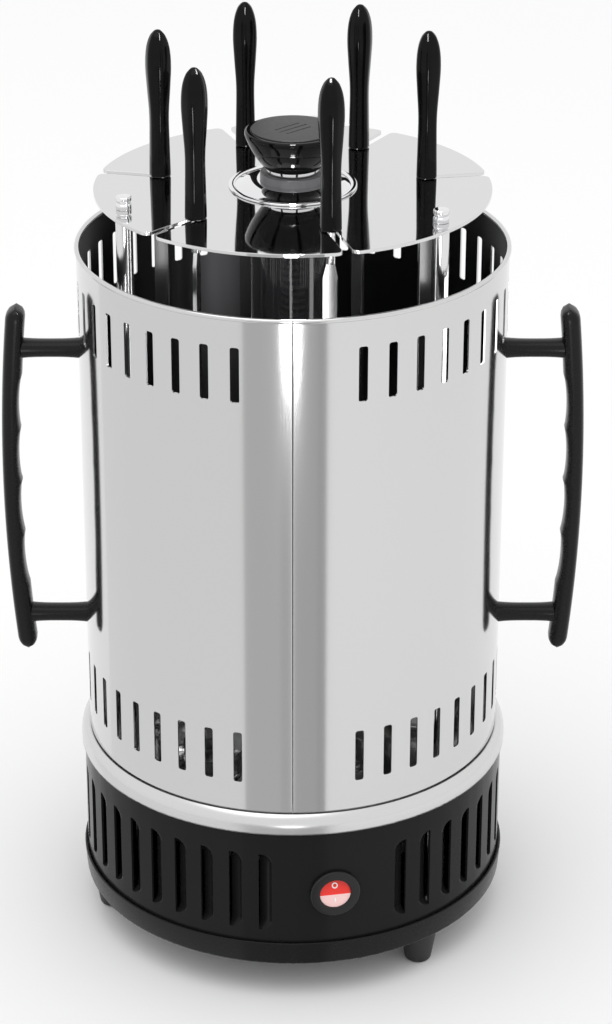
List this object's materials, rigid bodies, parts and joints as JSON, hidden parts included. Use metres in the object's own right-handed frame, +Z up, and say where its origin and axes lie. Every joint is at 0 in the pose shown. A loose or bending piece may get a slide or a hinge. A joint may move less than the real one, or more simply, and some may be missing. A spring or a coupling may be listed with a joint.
{
  "type": "electric skewer grill",
  "caption": "Upright electric grill: round louvred base, lift-off polished casing with side handles, slotted top disc, skewers turned by a hidden gear train round a central heater.",
  "frame": {"origin": "middle of the round base on the surface that it stands on", "axes": "+Z up, the switch's side towards -Y, the handles along X"},
  "size_m": [0.2764, 0.2118, 0.4421],
  "materials": {
    "black_moulded": "semi-gloss moulding",
    "black_enamel": "gloss enamel",
    "satin_steel": "satin spun",
    "bright_steel": "bright drawn",
    "polished_steel": "polished sheet",
    "mirror_steel": "mirror polish",
    "chrome": "plated",
    "grey_band": "satin grey",
    "rubber": "moulded",
    "gear_metal": "die cast",
    "bronze": "sintered",
    "zinc_plate": "zinc plated can",
    "ceramic": "unglazed ceramic",
    "heating_wire": "oxidised wire",
    "quartz_glass": "smoked quartz",
    "gloss_black": "high gloss",
    "matte_grey": "fine matte",
    "red_rocker": "lit translucent red"
  },
  "bodies": {
    "base": {"base_pan": "black_moulded", "base_wall": "black_enamel", "trim_ring": "satin_steel", "deck": "bright_steel", "feet": "rubber", "base_screws": "bright_steel", "cord_inlet": "rubber", "gear_frame": "gear_metal", "centre_hub": "gear_metal", "station_bushes": "bronze", "motor": "zinc_plate", "terminal_block": "ceramic", "posts": "bright_steel", "tie_rods": "bright_steel", "thumb_nuts": "bright_steel", "top_plate": "mirror_steel", "heater_socket": "ceramic", "heater_core": "ceramic", "heater_coil": "heating_wire", "heater_tube": "quartz_glass", "heater_cap": "bright_steel", "knob_flange": "chrome", "knob_collar": "grey_band", "switch_housing": "gloss_black", "drip_cup_1": "bright_steel", "drip_cup_2": "bright_steel", "drip_cup_3": "bright_steel", "drip_cup_4": "bright_steel", "drip_cup_5": "bright_steel", "drip_cup_6": "bright_steel"},
    "casing": {"casing_left": "polished_steel", "casing_right": "polished_steel", "handle_left": "black_moulded", "handle_right": "black_moulded", "handle_screws": "bright_steel"},
    "sun": {"sun_gear": "gear_metal"},
    "pinion": {"motor_pinion": "gear_metal"},
    "station_1": {"station_gear_1": "gear_metal"},
    "station_2": {"station_gear_2": "gear_metal"},
    "station_3": {"station_gear_3": "gear_metal"},
    "station_4": {"station_gear_4": "gear_metal"},
    "station_5": {"station_gear_5": "gear_metal"},
    "station_6": {"station_gear_6": "gear_metal"},
    "skewer_1": {"skewer_blade_1": "bright_steel", "skewer_handle_1": "gloss_black"},
    "skewer_2": {"skewer_blade_2": "bright_steel", "skewer_handle_2": "gloss_black"},
    "skewer_3": {"skewer_blade_3": "bright_steel", "skewer_handle_3": "gloss_black"},
    "skewer_4": {"skewer_blade_4": "bright_steel", "skewer_handle_4": "gloss_black"},
    "skewer_5": {"skewer_blade_5": "bright_steel", "skewer_handle_5": "gloss_black"},
    "skewer_6": {"skewer_blade_6": "bright_steel", "skewer_handle_6": "gloss_black"},
    "knob": {"knob": "gloss_black", "knob_neck": "chrome", "knob_disc": "matte_grey"},
    "rocker": {"switch_rocker": "red_rocker"}
  },
  "joints": [
    {"name": "casing_lift", "type": "slide", "parent": "base", "child": "casing", "axis": [0, 0, 1], "range_m": [0, 0.36]},
    {"name": "sun_spin", "type": "hinge", "parent": "base", "child": "sun", "pos_m": [0, 0, 0.073], "axis": [0, 0, 1], "continuous": true},
    {"name": "pinion_spin", "type": "hinge", "parent": "base", "child": "pinion", "pos_m": [0.04757, -0.03002, 0.073], "axis": [0, 0, 1], "continuous": true},
    {"name": "station_spin_1", "type": "hinge", "parent": "base", "child": "station_1", "pos_m": [0.06155, 0.01085, 0.073], "axis": [0, 0, 1], "continuous": true},
    {"name": "station_spin_2", "type": "hinge", "parent": "base", "child": "station_2", "pos_m": [0.03125, 0.05413, 0.073], "axis": [0, 0, 1], "continuous": true},
    {"name": "station_spin_3", "type": "hinge", "parent": "base", "child": "station_3", "pos_m": [-0.0224, 0.05835, 0.073], "axis": [0, 0, 1], "continuous": true},
    {"name": "station_spin_4", "type": "hinge", "parent": "base", "child": "station_4", "pos_m": [-0.06113, 0.01299, 0.073], "axis": [0, 0, 1], "continuous": true},
    {"name": "station_spin_5", "type": "hinge", "parent": "base", "child": "station_5", "pos_m": [-0.04302, -0.04534, 0.073], "axis": [0, 0, 1], "continuous": true},
    {"name": "station_spin_6", "type": "hinge", "parent": "base", "child": "station_6", "pos_m": [0.0167, -0.06023, 0.073], "axis": [0, 0, 1], "continuous": true},
    {"name": "skewer_lift_1", "type": "slide", "parent": "station_1", "child": "skewer_1", "axis": [0, 0, 1], "range_m": [0, 0.012]},
    {"name": "skewer_lift_2", "type": "slide", "parent": "station_2", "child": "skewer_2", "axis": [0, 0, 1], "range_m": [0, 0.012]},
    {"name": "skewer_lift_3", "type": "slide", "parent": "station_3", "child": "skewer_3", "axis": [0, 0, 1], "range_m": [0, 0.012]},
    {"name": "skewer_lift_4", "type": "slide", "parent": "station_4", "child": "skewer_4", "axis": [0, 0, 1], "range_m": [0, 0.012]},
    {"name": "skewer_lift_5", "type": "slide", "parent": "station_5", "child": "skewer_5", "axis": [0, 0, 1], "range_m": [0, 0.012]},
    {"name": "skewer_lift_6", "type": "slide", "parent": "station_6", "child": "skewer_6", "axis": [0, 0, 1], "range_m": [0, 0.012]},
    {"name": "knob_turn", "type": "hinge", "parent": "base", "child": "knob", "pos_m": [0, 0, 0.3826], "axis": [0, 0, 1], "range_deg": [0, 360]},
    {"name": "switch_rock", "type": "hinge", "parent": "base", "child": "rocker", "pos_m": [0.01887, -0.09617, 0.0569], "axis": [0.9813, 0.1925, 0], "range_deg": [0, 20]}
  ],
  "couplings": [
    {"joint": "pinion_spin", "follows": "sun_spin", "ratio": -2.6},
    {"joint": "station_spin_1", "follows": "sun_spin", "ratio": -1.8571},
    {"joint": "station_spin_2", "follows": "sun_spin", "ratio": -1.8571},
    {"joint": "station_spin_3", "follows": "sun_spin", "ratio": -1.8571},
    {"joint": "station_spin_4", "follows": "sun_spin", "ratio": -1.8571},
    {"joint": "station_spin_5", "follows": "sun_spin", "ratio": -1.8571},
    {"joint": "station_spin_6", "follows": "sun_spin", "ratio": -1.8571}
  ]
}
